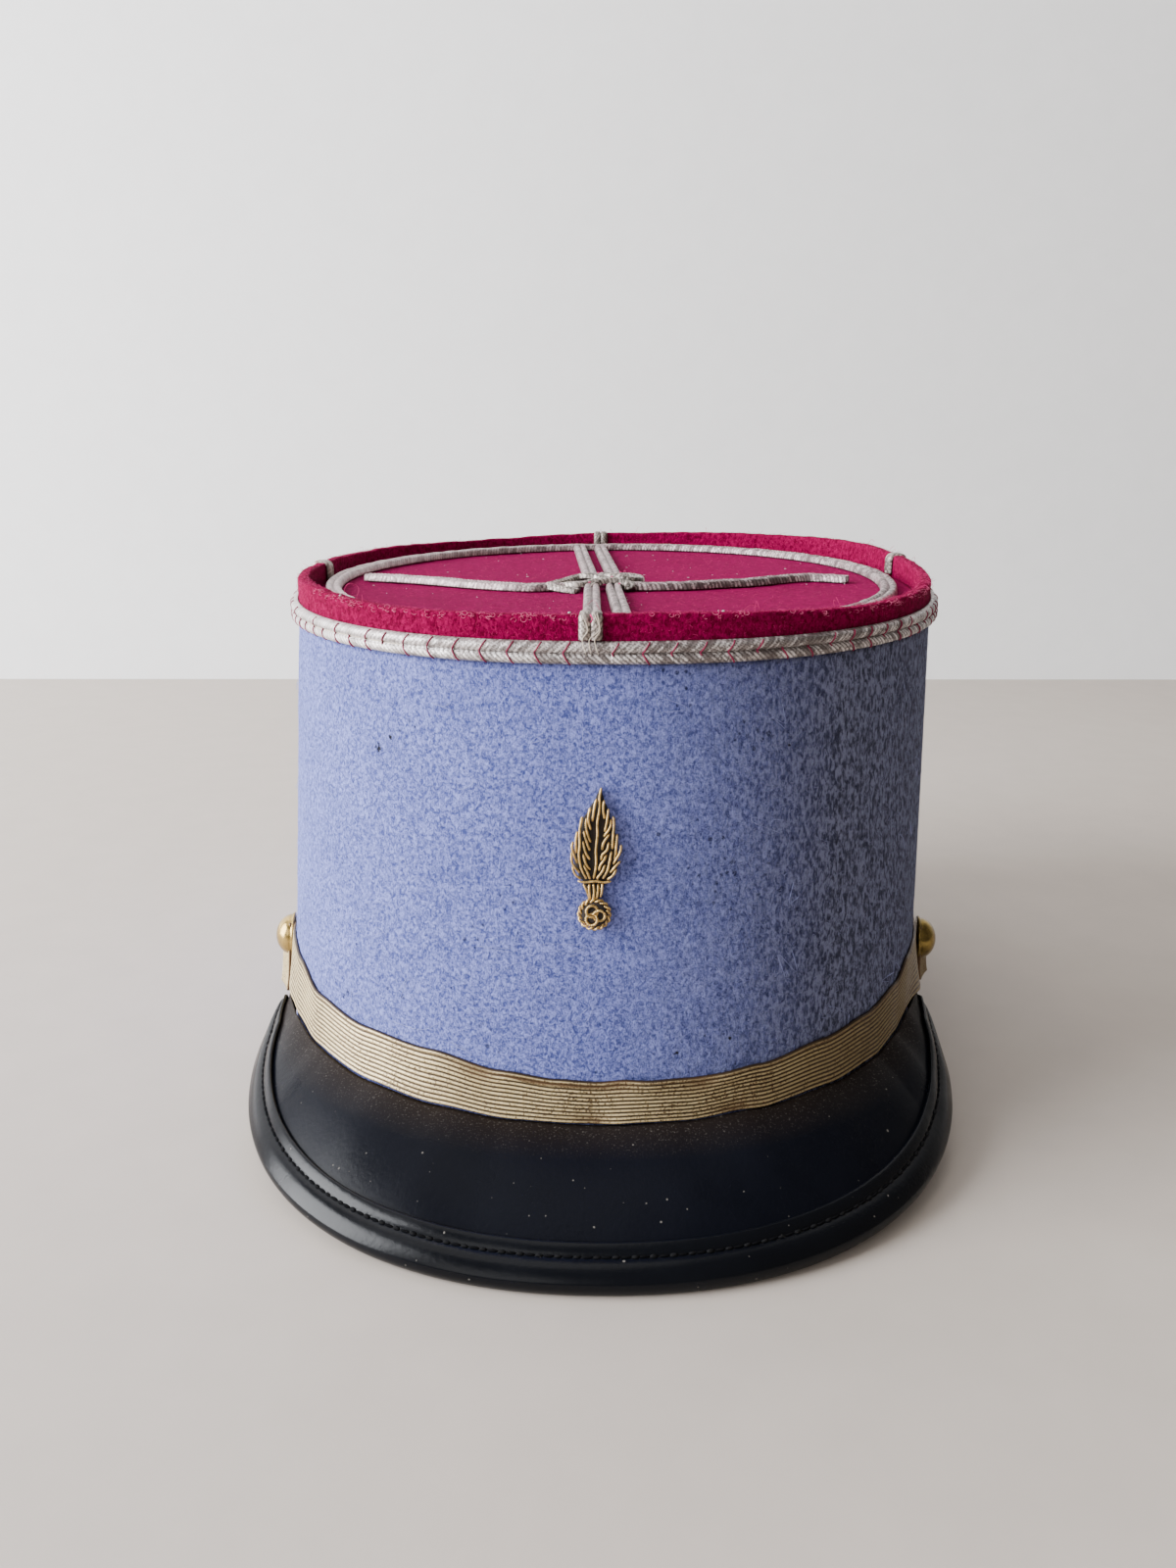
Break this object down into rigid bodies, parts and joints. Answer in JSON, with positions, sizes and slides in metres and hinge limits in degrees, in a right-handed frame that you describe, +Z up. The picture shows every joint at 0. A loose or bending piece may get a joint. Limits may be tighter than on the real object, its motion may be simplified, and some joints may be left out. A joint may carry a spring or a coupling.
{
  "type": "kepi cap",
  "caption": "Tall round cloth cap with a sunken braided crimson top, a gold chin strap, a gold badge and a black leather peak.",
  "frame": {"origin": "on the table, under the middle of the cap's bounding box", "axes": "+Z up; -Y towards the front, where the peak is; +X to the right of someone who looks at the front"},
  "size_m": [0.1745, 0.234, 0.1285],
  "materials": {
    "blue_cloth": "napped wool cloth, light blue",
    "crimson_cloth": "napped wool cloth, crimson",
    "silver_braid": "tarnished silver thread braid",
    "gold_thread": "gold thread embroidery",
    "gold_galon": "woven gold thread band, worn",
    "gilt_metal": "polished gilt",
    "black_leather": "soft gloss"
  },
  "bodies": {
    "root": {"crown_body": "blue_cloth", "crown_rim": "crimson_cloth", "top_plate": "crimson_cloth", "edge_braid": "silver_braid", "plate_braid": "silver_braid", "riser_front": "silver_braid", "riser_back": "silver_braid", "riser_left": "silver_braid", "riser_right": "silver_braid", "knot_center": "silver_braid", "knot_arm_left": "silver_braid", "knot_arm_right": "silver_braid", "knot_cord_front_left": "silver_braid", "knot_cord_front_right": "silver_braid", "knot_cord_back_left": "silver_braid", "knot_cord_back_right": "silver_braid", "badge_flame": "gold_thread", "badge_ball": "gold_thread", "chin_strap": "gold_galon", "strap_tab_left": "gold_galon", "strap_tab_right": "gold_galon", "button_left": "gilt_metal", "button_right": "gilt_metal", "peak": "black_leather", "peak_edging": "black_leather"}
  },
  "joints": []
}
